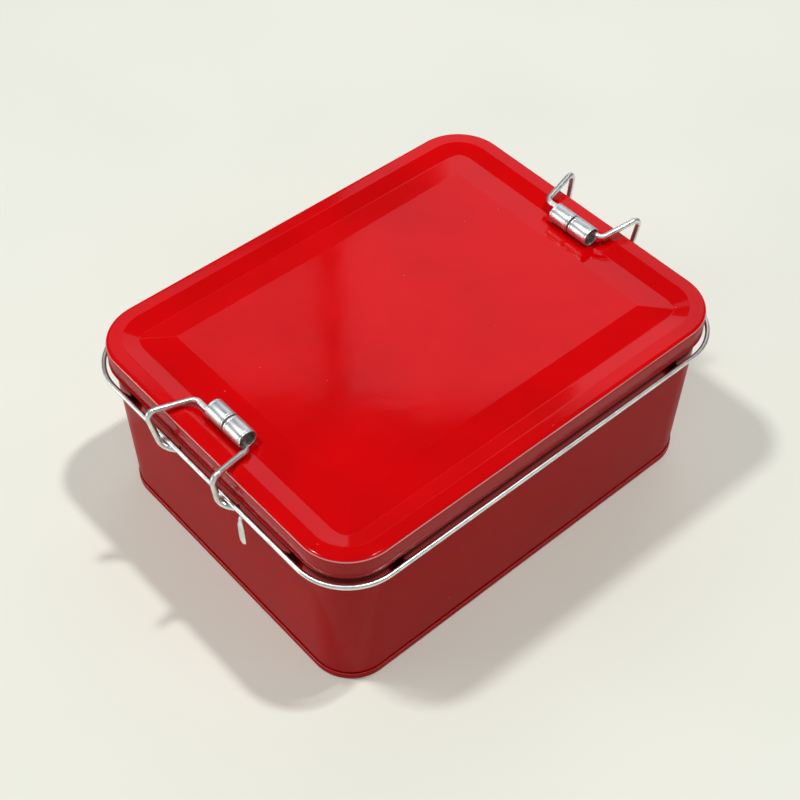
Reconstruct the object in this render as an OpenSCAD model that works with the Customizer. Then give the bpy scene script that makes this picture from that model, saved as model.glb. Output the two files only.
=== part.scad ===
// Pressed tin lunch box with a lift-off lid, held shut by two roller clips
// that swing on a wire ring under the lid. Millimetres, +Z up, the long side
// along X, origin on the table under the middle of the box.

/* [Tin] */
// Length over the lid
lid_length = 180; // [150:1:220]
// Width over the lid
lid_width = 140; // [120:1:180]
// Corner radius of the lid outline
corner_radius = 19.3; // [17:0.1:26]
// Height of the body to its rolled rim
body_height = 72.8; // [50:0.1:110]
// Thickness of the tinned sheet
sheet = 0.35; // [0.25:0.05:0.5]

/* [Lid] */
// Height of the skirt
skirt_height = 8.8; // [7:0.1:12]
// Radius over the bend from the top into the skirt
edge_radius = 1.5; // [0.8:0.1:2.5]
// Radius of the hem rolled inwards along the skirt's lower edge
hem_radius = 0.4; // [0.25:0.05:0.45]
// Width of the flat rim round the top
rim_width = 6; // [4:0.1:8]
// Distance from the lid's edge to the bottom of the pressed groove
groove_in = 12.2; // [10:0.1:13]
// Depth of the groove under the rim
groove_depth = 2; // [1.2:0.1:2.6]
// Distance from the short edges to the raised panel
panel_in_ends = 23.5; // [20:0.1:30]
// Distance from the long edges to the raised panel
panel_in_sides = 22.5; // [20:0.1:30]
// Drop of the raised panel under the rim
panel_drop = 0.4; // [0:0.1:0.8]
// Gap between the rolled rim of the body and the lid above it
lid_rest_gap = 0.35; // [0.2:0.05:0.6]

/* [Body] */
// Gap between the inside of the skirt and the neck of the body
neck_gap = 1.55; // [1.4:0.05:2]
// How far each wall leans in from the neck down to its foot
wall_lean = 1.75; // [0:0.05:4]
// Radius of the roll along the top of the body
roll_radius = 0.55; // [0.5:0.05:0.6]
// Thickness of the struts that carry the wire ring
strut_thickness = 1.2; // [0.8:0.1:1.4]
// Length of a strut along its side
strut_length = 6; // [3:0.5:10]
// Slope at which the struts rise from the wall to the ring
strut_slope = 58; // [45:1:62]
// Distance from the end of a straight side to the middle of its strut
strut_inset = 6; // [5:0.5:9]

/* [Base] */
// Height of the folded seam round the base
seam_height = 3; // [2.4:0.1:4]
// Thickness of each leg of the seam
seam_skin = 0.4; // [0.3:0.05:0.5]
// Height of the base panel above the table
panel_lift = 1.8; // [1:0.1:2]
// Play between pieces that are folded or soldered together
seat_play = 0.05; // [0.03:0.01:0.1]

/* [Wire ring] */
// Thickness of the ring's wire
ring_wire = 1.8; // [1.5:0.1:2]
// Distance of the wire's centre outside the lid
ring_out = 1.8; // [1.6:0.1:2.4]
// Drop of the wire's centre under the skirt
ring_drop = 2.1; // [1.9:0.1:4]
// Length of the flattened end that is turned down
tail_length = 12.8; // [8:0.1:15]
// Width of the flattened end
tail_width = 2.7; // [2:0.1:3.4]
// Width of the flattened end where it leaves the ring
tail_neck = 1.5; // [1:0.1:1.8]
// Length over which the flattened end widens
tail_spread = 4; // [2:0.1:5]
// Thickness of the flattened end
tail_thickness = 0.9; // [0.7:0.1:1.2]
// Gap between the near clip's hook and the flattened end
tail_gap = 2; // [0.5:0.1:3]

/* [Clips] */
// Thickness of the clip's wire
clip_wire = 2.2; // [1.8:0.1:2.3]
// Half width between the near clip's bends beside the rollers
near_axle_half = 14.4; // [14:0.1:17]
// Half width between the far clip's bends beside the rollers
far_axle_half = 14; // [14:0.1:17]
// Half width between the shoulders of the near clip
near_shoulder_half = 18.3; // [16.5:0.1:20]
// Half width between the shoulders of the far clip
far_shoulder_half = 17.4; // [16.5:0.1:20]
// Half width between the legs where they meet the ring
foot_half = 16.3; // [15.5:0.1:18]
// Distance of the near clip's shoulders outside the centre of the ring
near_shoulder_out = 4.6; // [3.4:0.1:6]
// Distance of the far clip's shoulders outside the centre of the ring
far_shoulder_out = 5; // [3.4:0.1:6]
// Height of the near clip's shoulders above the lid
near_shoulder_rise = 3.5; // [2.6:0.1:6]
// Height of the far clip's shoulders above the lid
far_shoulder_rise = 4.9; // [2.6:0.1:6]
// Angle of the near clip's wire above the level, seen from the middle of its rollers
near_wire_angle = -42; // [-60:1:20]
// Angle of the far clip's wire above the level, seen from the middle of its rollers
far_wire_angle = 8; // [-60:1:20]
// Radius of the bends in the clips' wire
bend_radius = 2.6; // [2:0.1:3]
// Distance of the hooks' bends from the centre of the ring
hook_radius = 2.35; // [2.3:0.05:2.45]
// Radius of the bends in the hooks
hook_bend = 2.2; // [1.5:0.1:2.4]
// Distance that a hook runs along the ring while it goes round it
hook_run = 6.5; // [6:0.1:10]
// Place of the near clip along its side
near_clip_y = 4.2; // [2:0.1:5]
// Place of the far clip along its side, seen from its own end
far_clip_y = 2.6; // [0:0.1:5]

/* [Rollers] */
// Outside diameter of the rollers
roller_diameter = 7.5; // [6:0.1:8]
// Thickness of the roller's wall
roller_wall = 0.55; // [0.4:0.05:0.7]
// Length of one roller
roller_length = 9; // [7:0.1:9.2]
// Gap between the two rollers of a clip
roller_gap = 0.6; // [0.3:0.1:1.2]
// Clearance between the rollers and the lid
roller_play = 0.3; // [0.2:0.05:0.5]
// Play between the wire and the inside of the rollers
axle_play = 0.1; // [0.05:0.05:0.3]
// Place of the near rollers along their wire
near_roller_shift = -3; // [-3.4:0.1:3.4]
// Place of the far rollers along their wire
far_roller_shift = -1.8; // [-3.4:0.1:3.4]

/* [Hidden] */
$fn = 64;

// Facets round a bent wire, and the most that it turns from one station to the next
wire_facets = 14;
bend_step = 14;
// Facets round the small edges of the seam and the rollers
edge_facets = 32;
// Points at which a hook is bent, the angle of the first one below the level, and the angle between two
hook_points = 5;
hook_start = 15;
hook_turn = 45;
// How far a cut runs past the face that it starts from
cut_over = 1;
// Share of the groove's depth by which its slopes are carried on past the line where they meet
slope_over = 0.3;
// Height of the neck below the skirt, and of the plain foot above the seam
neck_below_skirt = 1;
foot_above_seam = 0.2;

half_length = lid_length / 2;
half_width = lid_width / 2;
lid_top = body_height + lid_rest_gap + sheet;
skirt_bottom = lid_top - skirt_height;
ring_z = skirt_bottom - ring_drop;
ring_radius = ring_wire / 2;

// Distances inwards from the lid's outline
neck_in = sheet + neck_gap;
foot_in = neck_in + wall_lean;
neck_start = skirt_bottom - neck_below_skirt;
foot_top = seam_height + foot_above_seam;
foot_bottom = seam_skin + seat_play;

hook_reach = foot_half + hook_run + clip_wire / 2;
tail_y = near_clip_y - hook_reach - tail_gap - tail_width / 2;

// A strut starts in the middle of the wall's sheet
strut_drop = ring_z - (ring_out + neck_in) * tan(strut_slope);
strut_in = neck_in + sheet / 2 + wall_lean * (neck_start - strut_drop) / (neck_start - foot_top);
strut_z = ring_z - (ring_out + strut_in) * tan(strut_slope);

rim_slope = atan2(groove_depth, groove_in - rim_width);
end_slope = atan2(groove_depth - panel_drop, panel_in_ends - groove_in);

// The roller lies between the two slopes of the groove
roller_radius = roller_diameter / 2;
roller_seat = roller_radius + roller_play;
roller_in = groove_in + roller_seat * (cos(end_slope) - cos(rim_slope)) / sin(rim_slope + end_slope);
roller_z = lid_top - groove_depth
         + roller_seat * (sin(rim_slope) + sin(end_slope)) / sin(rim_slope + end_slope);

// Clip positions are [outwards, along, upwards] from the centre of the ring's wire
roller_at = [-(ring_out + roller_in), roller_z - ring_z];
axle_offset = roller_radius - roller_wall - axle_play - clip_wire / 2;

module lacquered() { color([0.78, 0.02, 0.03]) children(); }
module wire_steel() { color([0.80, 0.81, 0.82]) children(); }
module roller_steel() { color([0.66, 0.68, 0.70]) children(); }

// Sweeps a flat profile round the tin: x is outwards from the lid's outline, y is up
module around() {
    for (side = [0, 1]) {
        reach = side == 0 ? half_length : half_width;
        run = side == 0 ? lid_width : lid_length;
        for (turn = [0, 180])
            rotate([0, 0, side * 90 + turn])
                rotate([90, 0, 0])
                    linear_extrude(run - 2 * corner_radius, center = true)
                        translate([reach, 0]) children();
    }
    around_corners() children();
}

// Sweeps a flat profile round the four corners only
module around_corners() {
    for (x = [-1, 1])
        for (y = [-1, 1])
            translate([x * (half_length - corner_radius), y * (half_width - corner_radius), 0])
                rotate([0, 0, x > 0 ? (y > 0 ? 0 : 270) : (y > 0 ? 90 : 180)])
                    rotate_extrude(angle = 90)
                        translate([corner_radius, 0]) children();
}

// Flat outline of the tin, moved inwards
module outline(inset) {
    r = corner_radius - inset;
    square([lid_length - 2 * corner_radius, lid_width - 2 * inset], center = true);
    square([lid_length - 2 * inset, lid_width - 2 * corner_radius], center = true);
    for (x = [-1, 1])
        for (y = [-1, 1])
            translate([x * (half_length - corner_radius), y * (half_width - corner_radius)])
                circle(r);
}

// Flat-topped panel with four straight slopes that meet in mitres
module mitred_panel(top, foot) {
    intersection() {
        mitred_prism(half_length, panel_in_ends, lid_width, top, foot);
        rotate([0, 0, 90]) mitred_prism(half_width, panel_in_sides, lid_length, top, foot);
    }
}

module mitred_prism(reach, panel_in, run, top, foot) {
    spread = (panel_in - groove_in) * (top - foot) / (groove_depth - panel_drop);
    top_half = reach - panel_in;
    panel_foot = top_half + spread;
    rotate([90, 0, 0])
        linear_extrude(run, center = true)
            polygon([[-top_half, top], [top_half, top], [panel_foot, foot], [panel_foot, foot - sheet],
                     [-panel_foot, foot - sheet], [-panel_foot, foot]]);
}

// Section of the lid's edge, from its bend to the inside of the flat rim
module edge_section(inset, top, bottom) {
    bend = edge_radius - inset;
    translate([-rim_width, bottom]) square([rim_width - edge_radius, top - bottom]);
    translate([-rim_width, bottom]) square([rim_width - inset, top - bend - bottom]);
    translate([-edge_radius, top - bend]) circle(bend);
}

// The lid as a solid: a rim with a rounded edge, a sunk groove and a raised panel
module lid_form(inset, bottom) {
    top = lid_top - inset;
    pocket_floor = top - groove_depth * (1 + slope_over);
    pocket_in = groove_in + (groove_in - rim_width) * slope_over;
    difference() {
        union() {
            around() edge_section(inset, top, bottom);
            translate([0, 0, bottom]) linear_extrude(top - bottom) outline(rim_width / 2);
        }
        around()
            polygon([[-rim_width, top + cut_over], [-rim_width, top], [-pocket_in, pocket_floor],
                     [-pocket_in - cut_over, pocket_floor], [-pocket_in - cut_over, top + cut_over]]);
        translate([0, 0, pocket_floor]) linear_extrude(top + cut_over - pocket_floor) outline(pocket_in);
    }
    mitred_panel(top - panel_drop, pocket_floor);
}

module lid() {
    lacquered() {
        difference() {
            lid_form(0, skirt_bottom + hem_radius);
            lid_form(sheet, skirt_bottom - cut_over);
        }
        around() translate([-hem_radius, skirt_bottom + hem_radius]) circle(hem_radius);
    }
}

// Section of the wall from its foot to the rolled rim
module wall_section() {
    roll_z = body_height - roll_radius;
    polygon([[-foot_in, foot_bottom], [-foot_in, foot_top], [-neck_in, neck_start], [-neck_in, roll_z],
             [-neck_in - sheet, roll_z], [-neck_in - sheet, neck_start],
             [-foot_in - sheet, foot_top], [-foot_in - sheet, foot_bottom]]);
    translate([-neck_in - sheet + roll_radius, roll_z]) circle(roll_radius);
}

// Section of a strut, from the wall up to the underside of the ring
module strut_section() {
    half = strut_thickness / 2;
    rise = half / cos(strut_slope);
    tip = half * [-sin(strut_slope), cos(strut_slope)];
    difference() {
        polygon([[ring_out, ring_z] + tip, [-strut_in, strut_z + rise],
                 [-strut_in, strut_z - rise], [ring_out, ring_z] - tip]);
        translate([ring_out, ring_z]) circle(ring_radius + seat_play);
    }
}

module body_shell() {
    lacquered() {
        around() wall_section();
        for (side = [0, 1]) {
            reach = side == 0 ? half_length : half_width;
            place = (side == 0 ? half_width : half_length) - corner_radius - strut_inset;
            for (turn = [0, 180])
                for (along = [-place, place])
                    rotate([0, 0, side * 90 + turn])
                        translate([0, along, 0])
                            rotate([90, 0, 0])
                                linear_extrude(strut_length, center = true)
                                    translate([reach, 0]) strut_section();
        }
    }
}

// Seam that folds round the foot of the wall, with the base panel inside it
module base_panel() {
    outer = foot_in - seat_play - seam_skin;
    inner = foot_in + sheet + seat_play;
    lacquered() {
        around() {
            translate([-outer - seam_skin / 2, 0]) {
                translate([-seam_skin / 2, seam_skin / 2]) square([seam_skin, seam_height - seam_skin]);
                translate([0, seam_height - seam_skin / 2]) circle(d = seam_skin, $fn = edge_facets);
                translate([0, seam_skin / 2]) circle(d = seam_skin, $fn = edge_facets);
            }
            translate([-inner - seam_skin, 0])
                square([inner - outer + seam_skin / 2, seam_skin]);
            translate([-inner - seam_skin, 0])
                square([seam_skin, panel_lift + seam_skin]);
        }
        translate([0, 0, panel_lift])
            linear_extrude(seam_skin) outline(inner + seam_skin / 2);
    }
}

module rim_wire() {
    wire_steel() {
        around() translate([ring_out, ring_z]) circle(ring_radius);
        translate([-half_length - ring_out, tail_y, ring_z]) ring_tail();
    }
}

// Flattened end of the ring's wire, bent outwards and down beside the near clip
module ring_tail() {
    t = tail_thickness;
    step_out = ring_radius + t / 2;
    lower = -step_out - tail_length;
    intersection() {
        rotate([90, 0, 0])
            linear_extrude(tail_width, center = true)
                polygon([[0, t / 2], [-step_out - t / 2, t / 2 - step_out], [-step_out - t / 2, lower],
                         [-step_out + t / 2, lower], [-step_out + t / 2, -t / 2 - step_out / 2], [0, -t / 2]]);
        rotate([90, 0, 90])
            linear_extrude(4 * step_out, center = true)
                tail_outline(step_out, lower);
    }
}

// Outline of the flattened end: it widens below the ring and is round at its foot
module tail_outline(step_out, lower) {
    half = tail_width / 2;
    polygon([[-tail_neck / 2, ring_radius], [tail_neck / 2, ring_radius],
             [tail_neck / 2, -step_out], [half, -step_out - tail_spread], [half, lower + half],
             [-half, lower + half], [-half, -step_out - tail_spread], [-tail_neck / 2, -step_out]]);
    translate([0, lower + half]) circle(half);
}

// Unit vector, a vector square to it, and the angle turned from one to another
function unit(v) = v / norm(v);
function square_to(v) = unit(cross(v, abs(v[2]) < 0.8 ? [0, 0, 1] : [1, 0, 0]));
function turn_angle(a, b) = acos(min(1, max(-1, unit(a) * unit(b))));

// Centre points and directions along the bend at one point of a wire
function bend_stations(points, i, radius) =
    let (come = unit(points[i] - points[i - 1]),
         go = unit(points[i + 1] - points[i]),
         turn = turn_angle(come, go),
         inwards = cross(unit(cross(come, go)), come),
         centre = points[i] - come * radius * tan(turn / 2) + inwards * radius,
         steps = ceil(turn / bend_step))
    [for (k = [0 : steps])
        let (a = turn * k / steps)
        [centre + radius * (come * sin(a) - inwards * cos(a)), come * cos(a) + inwards * sin(a)]];

// Stations along a wire that is bent at every inner point
function wire_stations(points, bends) =
    let (last = len(points) - 1)
    concat([[points[0], unit(points[1] - points[0])]],
           [for (i = [1 : last - 1]) each bend_stations(points, i, bends[i])],
           [[points[last], unit(points[last] - points[last - 1])]]);

// Sideways vectors carried along the stations without twist
function carried_sides(stations, i = 0, last = undef) =
    i == len(stations) ? []
    : let (along = stations[i][1],
           side = i == 0 ? square_to(along) : unit(last - along * (last * along)))
      concat([side], carried_sides(stations, i + 1, side));

// Round wire bent through a list of points, with a radius at each inner point
module bent_wire(points, bends, diameter) {
    stations = wire_stations(points, bends);
    sides = carried_sides(stations);
    rings = len(stations);
    n = wire_facets;
    skin = [for (i = [0 : rings - 1])
            let (side = sides[i], other = cross(stations[i][1], side))
            for (k = [0 : n - 1])
                stations[i][0] + diameter / 2 * (side * cos(360 * k / n) + other * sin(360 * k / n))];
    walls = [for (i = [0 : rings - 2])
             for (k = [0 : n - 1])
                 [i * n + k, i * n + (k + 1) % n, (i + 1) * n + (k + 1) % n, (i + 1) * n + k]];
    first_cap = [for (k = [n - 1 : -1 : 0]) k];
    last_cap = [for (k = [0 : n - 1]) (rings - 1) * n + k];
    polyhedron(skin, concat([first_cap, last_cap], walls), convexity = 8);
}

// Bend points of one leg from the roller's wire to the end of its hook; both hooks run the same way
function leg_points(side, wire_angle, axle_half, shoulder) =
    let (axle = roller_at + axle_offset * [cos(wire_angle), sin(wire_angle)])
    concat(
        [[axle[0], side * axle_half, axle[1]],
         [shoulder[0], side * shoulder[1], lid_top + shoulder[2] - ring_z]],
        [for (k = [0 : hook_points - 1])
            let (down = hook_start + hook_turn * k)
            [hook_radius * cos(down), side * foot_half + hook_run * k / (hook_points - 1),
             -hook_radius * sin(down)]]);

function reversed(list) = [for (i = [len(list) - 1 : -1 : 0]) list[i]];

// Clip at the end of the tin that lies towards +X, bent from one length of wire;
// the shoulder is its distance outside the ring, half width and height above the lid
module clip_wire_form(wire_angle, axle_half, shoulder) {
    points = concat(reversed(leg_points(1, wire_angle, axle_half, shoulder)),
                    leg_points(-1, wire_angle, axle_half, shoulder));
    hook_radii = [for (k = [1 : hook_points]) hook_bend];
    arm_radii = [bend_radius, bend_radius];
    bends = concat(hook_radii, arm_radii, arm_radii, hook_radii);
    wire_steel()
        translate([half_length + ring_out, 0, ring_z])
            bent_wire(points, bends, clip_wire);
}

// One hollow roller, placed to one side of the middle of its wire
module roller_form(side, shift) {
    middle = shift + side * (roller_length + roller_gap) / 2;
    r = roller_wall / 2;
    roller_steel()
        translate([half_length + ring_out + roller_at[0], middle, ring_z + roller_at[1]])
            rotate([90, 0, 0])
                rotate_extrude() {
                    translate([roller_radius - roller_wall, -roller_length / 2 + r])
                        square([roller_wall, roller_length - roller_wall]);
                    for (end = [-1, 1])
                        translate([roller_radius - r, end * (roller_length / 2 - r)])
                            circle(r, $fn = edge_facets);
                }
}

module near_clip_wire() {
    rotate([0, 0, 180])
        translate([0, -near_clip_y, 0])
            clip_wire_form(near_wire_angle, near_axle_half,
                           [near_shoulder_out, near_shoulder_half, near_shoulder_rise]);
}
module near_roller_left() { near_roller(-1); }
module near_roller_right() { near_roller(1); }
module near_roller(side) {
    rotate([0, 0, 180]) translate([0, -near_clip_y, 0]) roller_form(side, -near_roller_shift);
}

module far_clip_wire() {
    translate([0, -far_clip_y, 0])
        clip_wire_form(far_wire_angle, far_axle_half,
                       [far_shoulder_out, far_shoulder_half, far_shoulder_rise]);
}
module far_roller_left() { far_roller(1); }
module far_roller_right() { far_roller(-1); }
module far_roller(side) {
    translate([0, -far_clip_y, 0]) roller_form(side, far_roller_shift);
}

body_shell();
base_panel();
rim_wire();
lid();
near_clip_wire();
near_roller_left();
near_roller_right();
far_clip_wire();
far_roller_left();
far_roller_right();
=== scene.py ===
import math

import bpy
import numpy as np
from mathutils import Matrix, Vector


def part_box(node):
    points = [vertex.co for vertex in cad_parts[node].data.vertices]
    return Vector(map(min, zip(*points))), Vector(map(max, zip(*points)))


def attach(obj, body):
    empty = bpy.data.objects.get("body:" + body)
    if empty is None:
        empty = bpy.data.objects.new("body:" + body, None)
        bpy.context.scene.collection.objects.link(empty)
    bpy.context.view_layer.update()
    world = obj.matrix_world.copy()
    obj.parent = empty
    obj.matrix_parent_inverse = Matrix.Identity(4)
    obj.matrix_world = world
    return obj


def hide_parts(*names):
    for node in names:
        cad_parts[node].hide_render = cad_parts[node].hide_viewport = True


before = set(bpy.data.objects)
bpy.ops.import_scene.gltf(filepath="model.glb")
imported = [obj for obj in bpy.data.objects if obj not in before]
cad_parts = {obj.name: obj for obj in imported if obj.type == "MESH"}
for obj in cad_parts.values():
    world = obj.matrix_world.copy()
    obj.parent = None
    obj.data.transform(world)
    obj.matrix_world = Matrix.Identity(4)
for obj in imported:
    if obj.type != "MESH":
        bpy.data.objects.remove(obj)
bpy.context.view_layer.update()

MM = 0.001


# ---------------------------------------------------------------- sizes
# In millimetres, as in the part's own source. "Out" is measured outwards from the lid's
# outline and "in" inwards. Z is the height over the floor.

HALF_LENGTH = 90.0
HALF_WIDTH = 70.0
CORNER = 19.3
SHEET = 0.35

LID_TOP = 73.5
EDGE_RADIUS = 1.5
SKIRT_OUT = -0.1
SKIRT_BOTTOM = 64.7
HEM = 0.4
RIM_IN = 6.0
GROOVE_IN = 12.2
GROOVE_DEPTH = 2.0
PANEL_IN_ENDS = 23.5
PANEL_IN_SIDES = 22.5
PANEL_DROP = 0.4
CREASE = 0.05                                    # softness of the pressed creases
PANEL_CREASE = 0.03

BODY_TOP = 72.8
NECK_IN = 1.9
NECK_START = 63.7
FOOT_IN = 3.65
FOOT_TOP = 3.2
FOOT_BOTTOM = 0.45
ROLL = 0.55

SEAM_HEIGHT = 3.0
SEAM_SKIN = 0.4
PANEL_LIFT = 1.8
PLAY = 0.05                                      # between pieces that are soldered or folded

RING_OUT = 1.8
RING_Z = 62.6
RING_R = 0.9
STRUT_SLOPE = math.radians(58)
STRUT_THICK = 1.2
STRUT_LENGTH = 6.0
STRUT_INSET = 6.0
STRUT_FOOT_Z = 57.0

TAIL_Y = -22.95
TAIL_LENGTH = 12.8
TAIL_WIDTH = 3.9
TAIL_THICK = 0.9

WIRE_R = 1.1
HOOK_R = 2.35
HOOK_RUN = 6.5
HOOK_BEND = 2.2
LEG_BEND = 2.6
HOOK_START = 15
HOOK_TURN = 29
HOOK_TURNS = 4
FOOT_HALF = 16.3
ROLLER_CENTRE = np.array([-14.3557, 13.0408])    # out and up from the ring's centre
AXLE_PLAY = 2.0                                  # from the roller's centre to the wire's

NEAR_CLIP = {"y": 4.2, "wire_angle": -42, "axle_half": 14.4, "shoulder": (4.6, 18.3, 3.5)}
FAR_CLIP = {"y": -2.6, "wire_angle": 8, "axle_half": 14.0, "shoulder": (5.0, 17.4, 4.9)}

ROLLER_R = 3.75
ROLLER_WALL = 0.55
ROLLER_LENGTH = 9.0
ROLLER_LIP = 0.28
ROLLER_SIDES = 72


# ---------------------------------------------------------------- camera

TARGET = Vector((-5.8, -1.96, 36.8)) * MM
AZIMUTH = math.radians(-41.63)
ELEVATION = math.radians(48.67)
TILT = math.radians(0.52)
DISTANCE = 0.5594
LENS = 68.47
SENSOR = 36.0

back = Vector((math.sin(AZIMUTH) * math.cos(ELEVATION),
               -math.cos(AZIMUTH) * math.cos(ELEVATION),
               math.sin(ELEVATION)))
level = Vector((math.cos(AZIMUTH), math.sin(AZIMUTH), 0))


def add_camera():
    upright = back.cross(level)
    right = level * math.cos(TILT) + upright * math.sin(TILT)
    up = upright * math.cos(TILT) - level * math.sin(TILT)
    data = bpy.data.cameras.new("camera")
    data.lens = LENS
    data.sensor_width = SENSOR
    data.clip_start = 0.05
    data.clip_end = 20.0
    camera = bpy.data.objects.new("camera", data)
    turn = Matrix((right, up, back)).transposed().to_4x4()
    camera.matrix_world = Matrix.Translation(TARGET + back * DISTANCE) @ turn
    bpy.context.collection.objects.link(camera)
    bpy.context.scene.camera = camera


add_camera()


# ---------------------------------------------------------------- mesh tools

def smooth_min(a, b, k):
    """Lesser of two heights, rounded off where they are within k of each other."""
    h = np.maximum(k - np.abs(a - b), 0) / k
    return np.minimum(a, b) - h * h * k / 4


def smooth_max(a, b, k):
    return -smooth_min(-a, -b, k)


def arc(x, y, r, start, end, steps):
    """Points on an arc, with its angles in degrees."""
    angles = [math.radians(start + (end - start) * k / steps) for k in range(steps + 1)]
    return [(x + r * math.cos(a), y + r * math.sin(a)) for a in angles]


# The lid, the body, the base and the ring are all made of loops round the tin, and every
# loop has the same stations: steps round each corner, and stops along each straight side.

CORNER_STEPS = 20
LONG_STOPS = np.linspace(-1, 1, 25)[1:-1]
SHORT_STOPS = np.linspace(-1, 1, 19)[1:-1]
SPANS = np.array([HALF_LENGTH - CORNER, HALF_WIDTH - CORNER])


def stations():
    """Places on the corners' square, as signs, and the directions outwards there."""
    centres, normals = [], []
    corners = [(1, 1), (-1, 1), (-1, -1), (1, -1)]
    sides = [(0, 1), (-1, 0), (0, -1), (1, 0)]
    for quarter in range(4):
        for k in range(CORNER_STEPS + 1):
            angle = quarter * math.pi / 2 + math.pi / 2 * k / CORNER_STEPS
            centres.append(corners[quarter])
            normals.append((math.cos(angle), math.sin(angle)))
        x, y = sides[quarter]
        stops = SHORT_STOPS if quarter % 2 else LONG_STOPS
        for t in stops:
            centres.append((x - t * y, y + t * x))
            normals.append((x, y))
    return np.array(centres, float), np.array(normals, float)


CENTRES, NORMALS = stations()
COUNT = len(CENTRES)


def outline(out):
    """Points round the tin at a distance outwards from the lid's outline."""
    return CENTRES * SPANS + NORMALS * (CORNER + out)


def squared_outline(in_ends, in_sides, radius):
    """Points round a rectangle, at distances inwards from the lid's ends and sides."""
    spans = np.array([HALF_LENGTH - in_ends - radius, HALF_WIDTH - in_sides - radius])
    return CENTRES * spans + NORMALS * radius


def at_height(points, z):
    """Points in a plane with one height, or a height for each."""
    return np.column_stack([points, np.broadcast_to(z, len(points))])


def level_loops(section):
    """One loop round the tin for each (out, z) of a section."""
    return [at_height(outline(out), z) for out, z in section]


def rows_to_faces(rows, count, closed=False):
    """Faces between loops of points. Loops that don't close on the first get end caps."""
    faces = []
    for i in range(rows if closed else rows - 1):
        j = (i + 1) % rows
        for k in range(count):
            m = (k + 1) % count
            faces.append((i * count + k, i * count + m, j * count + m, j * count + k))
    if not closed:
        faces.append(tuple(range(count - 1, -1, -1)))
        faces.append(tuple((rows - 1) * count + k for k in range(count)))
    return faces


def joined(first, second):
    """Vertices and faces of two forms as those of one."""
    shift = len(first[0])
    moved = [tuple(i + shift for i in face) for face in second[1]]
    return np.concatenate([first[0], second[0]]), first[1] + moved


def from_rows(rows, closed=False):
    """Vertices and faces of the form whose sections, or loops, are the rows."""
    return np.concatenate(rows), rows_to_faces(len(rows), len(rows[0]), closed)


def add_mesh(name, form, sharp_over=None):
    """Object from vertices in millimetres and faces. It is smooth, apart from edges that
    turn by more than sharp_over degrees."""
    verts, faces = form
    mesh = bpy.data.meshes.new(name)
    mesh.from_pydata([tuple(v) for v in verts * MM], [], faces)
    mesh.update()
    mesh.shade_smooth()
    obj = bpy.data.objects.new(name, mesh)
    bpy.context.collection.objects.link(obj)
    if sharp_over:
        mesh.set_sharp_from_angle(angle=math.radians(sharp_over))
    return obj


# ---------------------------------------------------------------- lid

MIDDLE_IN = (68.2, 64, 58, 50, 42, 36, 31, 28, 26.5, 25.5, 24.8)
SLOPE_SHARES = (*np.linspace(1.06, 0.90, 9), *np.linspace(0.86, 0.22, 14), *np.linspace(0.18, 0, 7))
EDGE_IN = (12.0, 11.8, 11.6, 11.4, 11.1, 10.6, 9.8, 8.8, 7.8, 7.2, 6.8,
           6.5, 6.25, 6.0, 5.75, 5.5, 5.1, 4.4, 3.4, 2.4, 1.9)
MITRE_RADIUS = 0.4
BEND_STEPS = 9


def depth_in(xy):
    """Distance inwards from the lid's rounded outline."""
    past = np.abs(xy) - SPANS
    outside = np.hypot(np.maximum(past[:, 0], 0), np.maximum(past[:, 1], 0))
    return CORNER - np.where((past > 0).all(1), outside, past.max(1))


def panel_slope(depth, panel_in):
    """Slope that rises from the groove's bottom to the panel's edge."""
    rise = GROOVE_DEPTH - PANEL_DROP
    return -PANEL_DROP - (panel_in - depth) * rise / (panel_in - GROOVE_IN)


def pressed_height(xy):
    """Height of the lid's pressed top over the plane of its rim."""
    groove = (RIM_IN - depth_in(xy)) * GROOVE_DEPTH / (GROOVE_IN - RIM_IN)
    rim = smooth_min(0, groove, CREASE)
    ends = panel_slope(HALF_LENGTH - np.abs(xy[:, 0]), PANEL_IN_ENDS)
    sides = panel_slope(HALF_WIDTH - np.abs(xy[:, 1]), PANEL_IN_SIDES)
    mitred = smooth_min(ends, sides, CREASE)
    panel = smooth_min(mitred, -PANEL_DROP, PANEL_CREASE)
    return smooth_max(rim, panel, CREASE)


def top_outlines():
    """Outlines over the pressed top, from its middle out to the bend at its edge."""
    outlines = []
    for in_ends in MIDDLE_IN:
        in_sides = in_ends - (PANEL_IN_ENDS - PANEL_IN_SIDES)
        outlines.append(squared_outline(in_ends, in_sides, MITRE_RADIUS))
    for t in SLOPE_SHARES:
        squared = min(t, 1)
        radius = (CORNER - GROOVE_IN) * (1 - squared) + MITRE_RADIUS * squared
        outlines.append(squared_outline(GROOVE_IN + t * (PANEL_IN_ENDS - GROOVE_IN),
                                        GROOVE_IN + t * (PANEL_IN_SIDES - GROOVE_IN), radius))
    return outlines + [outline(-depth) for depth in EDGE_IN]


def lid_edge_section():
    """Round the lid's bend, down the skirt, round the hem and up again on the inside."""
    bend_z = LID_TOP - EDGE_RADIUS
    hem_z = SKIRT_BOTTOM + HEM
    inside = SKIRT_OUT - SHEET
    section = []
    for k, (out, z) in enumerate(arc(-EDGE_RADIUS, bend_z, EDGE_RADIUS, 90, 0, BEND_STEPS)):
        section.append((out + SKIRT_OUT * math.sin(math.pi / 2 * k / BEND_STEPS) ** 4, z))
    section += [(SKIRT_OUT, z) for z in (70.6, 68.6, 66.8, 66.0, 65.72)]
    section += [(SKIRT_OUT + 0.015, 65.56), (-0.045, 65.42)]
    section += arc(-HEM, hem_z, HEM, 35, -180, 12)
    section += [(-0.76, hem_z + 0.25), (-0.62, hem_z + 0.5), (inside - 0.06, hem_z + 0.7)]
    section += [(inside, hem_z + 1.0), (inside, 68.5)]
    section += arc(-EDGE_RADIUS, bend_z, EDGE_RADIUS - SHEET - PLAY, 0, 90, 6)
    return section


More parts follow.
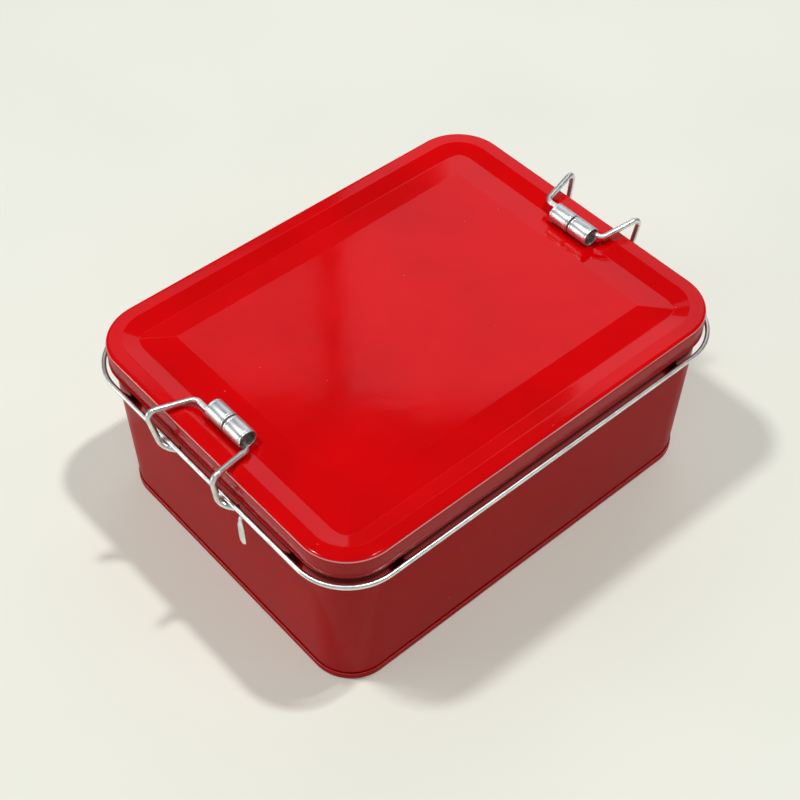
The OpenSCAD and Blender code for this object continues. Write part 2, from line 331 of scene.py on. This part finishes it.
def build_lid():
    top = top_outlines()
    rows = [at_height(xy, LID_TOP + pressed_height(xy)) for xy in top]
    rows += level_loops(lid_edge_section())
    rows += [at_height(xy, LID_TOP - SHEET + pressed_height(xy)) for xy in reversed(top[::2])]
    return add_mesh("lid_sheet", from_rows(rows))


# ---------------------------------------------------------------- body and base

def wall_out(z):
    """Place of the wall's outer face at a height."""
    if z >= NECK_START:
        return -NECK_IN
    if z <= FOOT_TOP:
        return -FOOT_IN
    return -FOOT_IN + (FOOT_IN - NECK_IN) * (z - FOOT_TOP) / (NECK_START - FOOT_TOP)


def wall_form():
    """The wall: up its outer face, over the rolled rim and down its inner face."""
    neck_inside = -NECK_IN - SHEET
    section = [(wall_out(z), z) for z in (FOOT_BOTTOM, 2, FOOT_TOP, 4.5, 8, 14, 22, 30, 38, 46, 54, 60, 62.5)]
    section += [(-NECK_IN, z) for z in (NECK_START, 66, 69, 71.6)]
    section += arc(neck_inside + ROLL, BODY_TOP - ROLL, ROLL, -60, 180, 16)
    section += [(neck_inside, z) for z in (71.6, 68, NECK_START)]
    section += [(wall_out(z) - SHEET, z) for z in (62.5, 56, 48, 38, 28, 18, 8, FOOT_TOP, FOOT_BOTTOM)]
    return from_rows(level_loops(section), closed=True)


def strut_section():
    """Section of a strut: its root is in the wall, and its end is hollowed for the ring."""
    along = np.array([math.cos(STRUT_SLOPE), math.sin(STRUT_SLOPE)])
    ring = np.array([RING_OUT, RING_Z])
    seat = RING_R + PLAY
    spread = math.degrees(math.asin(STRUT_THICK / 2 / seat))
    middle = 180 + math.degrees(STRUT_SLOPE)
    root_out = wall_out(STRUT_FOOT_Z) - SHEET / 2
    root = ring - along * (RING_OUT - root_out) / along[0]
    half_height = np.array([0, STRUT_THICK / 2 / along[0]])
    hollow = arc(*ring, seat, middle - spread, middle + spread, 4)
    return np.array([root + half_height, *hollow, root - half_height])


def strut_form(turns, reach, place):
    """Strut on the +X side at a place along it, given quarter turns about the middle."""
    out, z = strut_section().T
    rows = [np.column_stack([reach + out, np.full(len(out), place + end), z])
            for end in (-STRUT_LENGTH / 2, STRUT_LENGTH / 2)]
    verts, faces = from_rows(rows)
    return verts @ np.array(Matrix.Rotation(turns * math.pi / 2, 3, "Z")).T, faces


def build_body():
    form = wall_form()
    for turns in range(4):
        reach, run = (HALF_WIDTH, SPANS[0]) if turns % 2 else (HALF_LENGTH, SPANS[1])
        for place in (STRUT_INSET - run, run - STRUT_INSET):
            form = joined(form, strut_form(turns, reach, place))
    return add_mesh("body_wall", form, sharp_over=50)


def base_section():
    """Across the base: over its panel's underside, round the seam, and back on top."""
    outer = -(FOOT_IN - PLAY - SEAM_SKIN)
    inner = -(FOOT_IN + SHEET + PLAY)
    lip = SEAM_SKIN / 2
    skin = inner - SEAM_SKIN
    section = [(out, PANEL_LIFT) for out in (-60, -40, -20, -9.4)]
    section += [(-8.6, PANEL_LIFT - 0.05), (-7.8, PANEL_LIFT - 0.35), (-7.0, PANEL_LIFT - 0.4)]
    section += [(skin - 0.5, PANEL_LIFT - 0.4)]
    section += arc(skin - 0.5, PANEL_LIFT - 0.9, 0.5, 90, 0, 4)
    section += [(skin, 0.5)]
    section += arc(skin + 0.3, 0.3, 0.3, 180, 270, 4)
    section += [(outer - 0.6, 0.0)]
    section += arc(outer - 0.45, 0.45, 0.45, -90, 0, 6)
    section += [(outer, 1.2), (outer, 2.0), (outer, SEAM_HEIGHT - lip * 1.5)]
    section += arc(outer - lip, SEAM_HEIGHT - lip, lip, 0, 180, 8)
    section += [(outer - SEAM_SKIN, 1.6), (outer - SEAM_SKIN, FOOT_BOTTOM - 0.02)]
    section += [(inner, FOOT_BOTTOM - 0.02), (inner, 1.2), (inner, PANEL_LIFT)]
    section += [(inner - 0.3, PANEL_LIFT + SEAM_SKIN - 0.1), (inner - 0.8, PANEL_LIFT + SEAM_SKIN - 0.4)]
    section += [(-7.0, PANEL_LIFT), (-7.8, PANEL_LIFT + 0.05), (-8.6, PANEL_LIFT + 0.35)]
    section += [(out, PANEL_LIFT + 0.4) for out in (-9.4, -20, -40, -60)]
    return section


def build_base():
    rows = []
    for out, z in base_section():
        fits_corner = -out <= CORNER - 0.6
        xy = outline(out) if fits_corner else squared_outline(-out, -out, 0.5)
        rows.append(at_height(xy, z))
    return add_mesh("base_seam", from_rows(rows))


# ---------------------------------------------------------------- wires

def unit(v):
    return v / np.linalg.norm(v)


def bent_path(points, bends, step=6.0):
    """Centre line of a wire that turns with a bend radius at every inner point."""
    points = [np.array(p, float) for p in points]
    path = [points[0]]
    for before, corner, after, radius in zip(points, points[1:], points[2:], bends[1:]):
        come, go = unit(corner - before), unit(after - corner)
        turn = math.acos(max(-1, min(1, float(come @ go))))
        inwards = unit(np.cross(np.cross(come, go), come))
        centre = corner - come * radius * math.tan(turn / 2) + inwards * radius
        steps = max(2, math.ceil(math.degrees(turn) / step))
        for k in range(steps + 1):
            a = turn * k / steps
            path.append(centre + radius * (come * math.sin(a) - inwards * math.cos(a)))
    path.append(points[-1])
    return np.array(path)


def resampled(path, spacing):
    """The same path with points at even distances."""
    lengths = np.linalg.norm(np.diff(path, axis=0), axis=1)
    along = np.concatenate([[0], np.cumsum(lengths)])
    stops = np.linspace(0, along[-1], max(2, int(along[-1] / spacing)))
    return np.column_stack([np.interp(stops, along, path[:, k]) for k in range(3)])


def tube(path, radii, first_side=None, sides=18):
    """Tube round a path, with a pair of radii for each point. Its sections don't twist."""
    tangents = np.gradient(path, axis=0)
    tangents /= np.linalg.norm(tangents, axis=1)[:, None]
    side = np.cross(tangents[0], [0.0, 0.0, 1.0]) if first_side is None else np.array(first_side)
    turns = [2 * math.pi * k / sides for k in range(sides)]
    rows = []
    for point, tangent, (wide, thick) in zip(path, tangents, radii):
        side = unit(side - tangent * (side @ tangent))
        other = np.cross(tangent, side)
        rows.append([point + side * wide * math.cos(a) + other * thick * math.sin(a) for a in turns])
    return from_rows(rows)


def rounded_ends(path, radius, steps=4, edge=0.45):
    """Path and radii of a wire whose two ends are rounded off, over a share of its radius."""
    first = unit(path[0] - path[1])
    last = unit(path[-1] - path[-2])
    cut = edge * radius
    head, tail, narrowed = [], [], []
    for k in range(1, steps + 1):
        a = math.pi / 2 * k / steps * 0.97
        inwards = cut * math.sin(a) - cut
        head.insert(0, path[0] + first * inwards)
        tail.append(path[-1] + last * inwards)
        narrowed.append(radius * (edge + (1 - edge) * math.cos(a)))
    path = path.copy()
    path[0] -= first * cut
    path[-1] -= last * cut
    radii = narrowed[::-1] + [radius] * len(path) + narrowed
    return np.concatenate([head, path, tail]), [(r, r) for r in radii]


def clip_leg(side, wire_angle, axle_half, shoulder):
    """Bend points from the axle to the hook's tip: out, along and up from the ring's centre.

    A shoulder is given as out, along and up from the lid's top."""
    angle = math.radians(wire_angle)
    axle = ROLLER_CENTRE + AXLE_PLAY * np.array([math.cos(angle), math.sin(angle)])
    out, half, rise = shoulder
    points = [(axle[0], side * axle_half, axle[1]),
              (out, side * half, LID_TOP + rise - RING_Z)]
    for k in range(HOOK_TURNS + 1):
        a = math.radians(HOOK_START + HOOK_TURN * k)
        points.append((HOOK_R * math.cos(a),
                       side * FOOT_HALF + HOOK_RUN * k / HOOK_TURNS,
                       -HOOK_R * math.sin(a)))
    return points


def build_clip(name, turned, y, **bends):
    points = clip_leg(1, **bends)[::-1] + clip_leg(-1, **bends)
    hook = [HOOK_BEND] * (HOOK_TURNS + 1)
    radii = hook + [LEG_BEND] * 4 + hook
    path = resampled(bent_path(points, radii), 0.35)
    path, thickness = rounded_ends(path, WIRE_R)
    path = path + np.array([HALF_LENGTH + RING_OUT, 0, RING_Z])
    if turned:
        path = path * np.array([-1, -1, 1])
    return add_mesh(name, tube(path + np.array([0, y, 0]), thickness))


def tail_form():
    """The ring's flattened end, which leaves it outwards and hangs down beside it."""
    x = -(HALF_LENGTH + RING_OUT)
    foot = RING_Z - RING_R - TAIL_THICK / 2 - TAIL_LENGTH
    path = bent_path([(x + 0.1, TAIL_Y, RING_Z - 0.1),
                      (x - 1.25, TAIL_Y + 0.1, RING_Z - 0.9),
                      (x - 1.35, TAIL_Y + 0.15, RING_Z - 6.5),
                      (x - 1.35, TAIL_Y - 0.15, foot + 0.15)], [0, 1.1, 6.0, 0], step=4)
    path = resampled(path, 0.25)
    share = np.linspace(0, 1, len(path))
    wide = 0.72 + (TAIL_WIDTH / 2 - 0.78) * np.clip((share - 0.12) / 0.3, 0, 1) ** 1.3
    wide *= np.sqrt(np.clip(1 - np.clip((share - 0.86) / 0.14, 0, 1) ** 2, 0.02, 1))
    thick = 0.72 - 0.28 * np.clip(share / 0.3, 0, 1)
    thick *= np.where(share > 0.95, 1 - (share - 0.95) / 0.05 * 0.5, 1)
    return tube(path, list(zip(wide, thick)), first_side=(0.0, 1.0, 0.0))


def build_ring():
    section = arc(RING_OUT, RING_Z, RING_R, 0, -360, 18)[:-1]
    wire = from_rows(level_loops(section), closed=True)
    return add_mesh("rim_ring", joined(wire, tail_form()))


def roller_section():
    """Half of a roller's section, as distances along its axis and from it: a shallow
    groove near the end, a rounded lip and the bore."""
    half = ROLLER_LENGTH / 2
    bore = ROLLER_R - ROLLER_WALL
    section = [(0, ROLLER_R), (half - 1.15, ROLLER_R), (half - 1.0, ROLLER_R - 0.02)]
    section += [(half - 0.9, ROLLER_R - 0.10), (half - 0.8, ROLLER_R - 0.02), (half - 0.65, ROLLER_R)]
    section += arc(half - ROLLER_LIP, ROLLER_R - ROLLER_LIP, ROLLER_LIP, 90, 0, 6)
    section += arc(half - ROLLER_LIP + 0.02, bore + 0.26, 0.26, 0, -90, 6)
    section += [(half - 1.4, bore), (half - 2.5, bore), (0, bore)]
    return section


def build_roller(name, node_name):
    """Roller at the place of a node of the part, with its axis along Y."""
    low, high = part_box(node_name)
    middle = (np.array(low) + np.array(high)) / 2 / MM
    half = roller_section()
    section = half + [(-along, r) for along, r in reversed(half[1:-1])]
    turns = [2 * math.pi * k / ROLLER_SIDES for k in range(ROLLER_SIDES)]
    rows = [np.array([middle + (r * math.cos(a), along, r * math.sin(a)) for a in turns])
            for along, r in section]
    return add_mesh(name, from_rows(rows, closed=True))


# ---------------------------------------------------------------- materials

def new_material(name):
    material = bpy.data.materials.new(name)
    material.use_nodes = True
    tree = material.node_tree
    return material, tree, tree.nodes["Principled BSDF"]


def put(tree, socket, value):
    """Links a socket to an output, or sets it to a constant."""
    if isinstance(value, bpy.types.NodeSocket):
        tree.links.new(value, socket)
    else:
        socket.default_value = value


def node(tree, kind, inputs, **settings):
    made = tree.nodes.new(kind)
    for key, value in settings.items():
        setattr(made, key, value)
    for key, value in inputs.items():
        put(tree, made.inputs[key], value)
    return made


def coordinates(tree):
    return tree.nodes.new("ShaderNodeTexCoord").outputs


def noise(tree, where, scale, detail, roughness=0.5):
    return node(tree, "ShaderNodeTexNoise", {"Vector": where, "Scale": scale, "Detail": detail,
                                            "Roughness": roughness}).outputs["Fac"]


def to_nearest_cell(tree, where, scale):
    return node(tree, "ShaderNodeTexVoronoi", {"Vector": where, "Scale": scale}).outputs["Distance"]


def mapped(tree, value, low, high, to_low, to_high):
    return node(tree, "ShaderNodeMapRange", {"Value": value, "From Min": low, "From Max": high,
                                            "To Min": to_low, "To Max": to_high}).outputs["Result"]


def product(tree, a, b):
    return node(tree, "ShaderNodeMath", {0: a, 1: b}, operation="MULTIPLY").outputs[0]


def mixed(tree, factor, a, b):
    mix = node(tree, "ShaderNodeMix", {}, data_type="RGBA")
    put(tree, mix.inputs["Factor"], factor)
    put(tree, mix.inputs["A"], a)
    put(tree, mix.inputs["B"], b)
    return mix.outputs["Result"]


def bumped(tree, height, strength, distance, normal=None):
    inputs = {"Strength": strength, "Distance": distance, "Height": height}
    if normal is not None:
        inputs["Normal"] = normal
    return node(tree, "ShaderNodeBump", inputs).outputs["Normal"]


# painted highlight for the lacquer's bent edges
EDGE_HIGHLIGHT_RED = (1.0, 0.42, 0.43, 1)
DUST = (0.75, 0.35, 0.35, 1)
# painted shade for the neck under the lid's skirt
NECK_SHADE_RED = (0.075, 0.0, 0.001, 1)


def lacquer(name, shaded_side_red, top_red, coat, neck_shade_from=10.0):
    """Glossy baked lacquer with uneven depth, dust, smears and a painted highlight along the edge.

    Upright faces take a darker red than the top: painted shade, as the sides stand in the tin's
    own shade. From the given height in metres up, the colour is painted shade too: a near-black
    red with a thin coat, for the neck that stands nearly unlit under the lid's skirt."""
    material, tree, shader = new_material(name)
    spots = coordinates(tree)
    where = spots["Object"]
    facing_up = node(tree, "ShaderNodeSeparateXYZ", {"Vector": spots["Normal"]}).outputs["Z"]
    height = node(tree, "ShaderNodeSeparateXYZ", {"Vector": where}).outputs["Z"]
    broad = noise(tree, where, 22.0, 3.0)
    fine = noise(tree, where, 900.0, 2.0)
    smear = noise(tree, where, 60.0, 6.0, 0.65)

    deep_red = tuple(0.88 * c for c in shaded_side_red[:3]) + (1,)
    # painted shade: upright faces take the darker red, the top the lighter one
    colour = mixed(tree, mapped(tree, facing_up, 0.6, 0.8, 0, 1), shaded_side_red, top_red)
    colour = mixed(tree, mapped(tree, broad, 0.35, 0.65, 0, 0.35), colour, deep_red)
    # painted highlight: a pale band round the bends between the upright faces and the top, uneven in strength
    edge = product(tree, mapped(tree, facing_up, 0.30, 0.42, 0, 1), mapped(tree, facing_up, 0.58, 0.72, 1, 0))
    painted_edge_highlight = product(tree, edge, mapped(tree, broad, 0.3, 0.7, 0.35, 0.75))
    colour = mixed(tree, painted_edge_highlight, colour, EDGE_HIGHLIGHT_RED)
    specks = mapped(tree, to_nearest_cell(tree, where, 85.0), 0.018, 0.026, 0.25, 0.0)
    colour = mixed(tree, specks, colour, DUST)
    # painted shade: near-black red and a thin coat from the given height up, where the neck stands under the lid's
    # skirt
    neck_shade = mapped(tree, height, neck_shade_from, neck_shade_from + 0.0018, 0, 1)
    put(tree, shader.inputs["Base Color"], mixed(tree, neck_shade, colour, NECK_SHADE_RED))

    put(tree, shader.inputs["Specular IOR Level"], 0.0)
    put(tree, shader.inputs["Roughness"], mapped(tree, smear, 0.3, 0.7, 0.24, 0.38))
    put(tree, shader.inputs["Coat Weight"], mapped(tree, neck_shade, 0, 1, coat, 0.10))
    put(tree, shader.inputs["Coat Roughness"], mapped(tree, smear, 0.3, 0.7, 0.05, 0.10))
    put(tree, shader.inputs["Coat IOR"], 1.45)
    grainy = bumped(tree, fine, 0.3, 0.00004)
    wavy = bumped(tree, broad, 0.4, 0.0004, grainy)
    put(tree, shader.inputs["Normal"], wavy)
    put(tree, shader.inputs["Coat Normal"], wavy)
    return material


PIT = (0.25, 0.24, 0.24, 1)


def steel(name, bright, dull, roughness, grain):
    """Bright plated steel with drawing marks, dull clouds and small pits."""
    material, tree, shader = new_material(name)
    where = coordinates(tree)["Object"]
    drawn = node(tree, "ShaderNodeMapping", {"Vector": where, "Scale": grain}).outputs["Vector"]
    lines = noise(tree, drawn, 1.0, 4.0, 0.6)
    cloud = noise(tree, where, 260.0, 5.0, 0.6)
    pits = mapped(tree, to_nearest_cell(tree, where, 900.0), 0.05, 0.16, 0.18, 0.0)
    colour = mixed(tree, mapped(tree, cloud, 0.35, 0.7, 0, 1), bright, dull)
    put(tree, shader.inputs["Base Color"], mixed(tree, pits, colour, PIT))
    put(tree, shader.inputs["Metallic"], 1.0)
    put(tree, shader.inputs["Roughness"],
        mapped(tree, lines, 0.3, 0.7, roughness - 0.04, roughness + 0.08))
    put(tree, shader.inputs["Normal"], bumped(tree, lines, 0.1, 0.00002))
    return material


FLOOR = (0.845, 0.86, 0.77, 1)
FLOOR_PATCH = (0.815, 0.835, 0.74, 1)


def pale_floor():
    material, tree, shader = new_material("pale_floor")
    patches = mapped(tree, noise(tree, coordinates(tree)["Object"], 6.0, 2.0), 0.35, 0.65, 0, 1)
    put(tree, shader.inputs["Base Color"], mixed(tree, patches, FLOOR, FLOOR_PATCH))
    put(tree, shader.inputs["Roughness"], 0.6)
    put(tree, shader.inputs["Specular IOR Level"], 0.2)
    return material


# ---------------------------------------------------------------- the ten pieces

TOP_RED = (0.65, 0.0, 0.0012, 1)
# painted shade: the darker red of the upright faces and of the whole body
SHADED_SIDE_RED = (0.37, 0.0, 0.001, 1)
lid_lacquer = lacquer("red_lacquer_lid", SHADED_SIDE_RED, TOP_RED, coat=0.5)
# the body turns to the painted neck shade from 58 mm up
body_lacquer = lacquer("red_lacquer_body", SHADED_SIDE_RED, SHADED_SIDE_RED, coat=0.32, neck_shade_from=0.058)
wire_steel = steel("wire_steel", bright=(0.84, 0.88, 0.86, 1), dull=(0.60, 0.63, 0.62, 1),
                   roughness=0.33, grain=(500, 500, 500))
roller_steel = steel("roller_steel", bright=(0.72, 0.78, 0.77, 1), dull=(0.59, 0.64, 0.64, 1),
                     roughness=0.36, grain=(1200, 90, 1200))


def dress(obj, material, body, replaced):
    obj.data.materials.append(material)
    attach(obj, body)
    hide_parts(replaced)


dress(build_lid(), lid_lacquer, "lid", "lid")
dress(build_body(), body_lacquer, "tin", "body_shell")
dress(build_base(), body_lacquer, "tin", "base_panel")
dress(build_ring(), wire_steel, "tin", "rim_wire")
dress(build_clip("near_clip", True, **NEAR_CLIP), wire_steel, "near_clip", "near_clip_wire")
dress(build_clip("far_clip", False, **FAR_CLIP), wire_steel, "far_clip", "far_clip_wire")
for side in ("left", "right"):
    for clip in ("near", "far"):
        replaced = f"{clip}_roller_{side}"
        roller = build_roller(f"{clip}_{side}_tube", replaced)
        dress(roller, roller_steel, f"{clip}_{side}_roller", replaced)


# ---------------------------------------------------------------- floor and light

def add_floor(size=6.0):
    bpy.ops.mesh.primitive_plane_add(size=size, location=(0, 0, 0))
    floor = bpy.context.object
    floor.name = "floor"
    floor.data.materials.append(pale_floor())


def add_light(data, location, direction):
    light = bpy.data.objects.new(data.name, data)
    light.location = location
    light.rotation_euler = direction.to_track_quat("Z", "Y").to_euler()
    bpy.context.collection.objects.link(light)


def lamp(name, towards, distance, size, power):
    """Round lamp that shines on the tin from a direction."""
    data = bpy.data.lights.new(name, "AREA")
    data.shape = "DISK"
    data.size = size
    data.energy = power
    direction = Vector(towards).normalized()
    add_light(data, direction * distance, direction)


def board(name, bearing, distance, across, height, brightness, tint=(1, 1, 1)):
    """Upright board, square to a bearing in degrees to the right of the camera's.

    It runs across from left to right and in height from bottom to top, in metres."""
    left, right = across
    bottom, top = height
    data = bpy.data.lights.new(name, "AREA")
    data.shape = "RECTANGLE"
    data.size = right - left
    data.size_y = top - bottom
    data.energy = brightness * math.pi * data.size * data.size_y
    data.color = tint
    turn = Matrix.Rotation(-math.radians(bearing), 3, "Z")
    away = turn @ Vector((-back.x, -back.y, 0)).normalized()
    sideways = turn @ level * (left + right) / 2
    add_light(data, away * distance + sideways + Vector((0, 0, (bottom + top) / 2)), away)


def add_world(colour, strength):
    world = bpy.data.worlds.new("studio")
    world.use_nodes = True
    background = world.node_tree.nodes["Background"]
    background.inputs["Color"].default_value = colour
    background.inputs["Strength"].default_value = strength
    bpy.context.scene.world = world


COOL = (0.94, 0.86, 1.0)

add_floor()
lamp("key", towards=(0.215, -0.155, 0.964), distance=1.6, size=0.10, power=9.9)
lamp("second", towards=(-0.30, 0.26, 0.917), distance=1.6, size=0.16, power=9.9)
# the two boards that the lid mirrors, with the photo's dark streak between them
board("right_board", bearing=0, distance=1.0, across=(-0.075, 0.80), height=(0.30, 1.26), brightness=1.08, tint=COOL)
board("left_board", bearing=0, distance=1.0, across=(-0.70, -0.105), height=(0.98, 1.24), brightness=0.80, tint=COOL)
board("front_fill", bearing=180, distance=1.5, across=(-1.2, 1.2), height=(0.0, 1.9), brightness=0.34)
# the low strips that light the lid's edges and the wires from both sides
board("left_strip", bearing=-100, distance=1.5, across=(-0.35, 0.35), height=(0.26, 0.44), brightness=12.0)
board("right_strip", bearing=108, distance=1.5, across=(-0.35, 0.35), height=(0.26, 0.44), brightness=4.0)
add_world(colour=(1.0, 0.99, 0.97, 1), strength=0.145)

bpy.context.scene.view_settings.view_transform = "Standard"
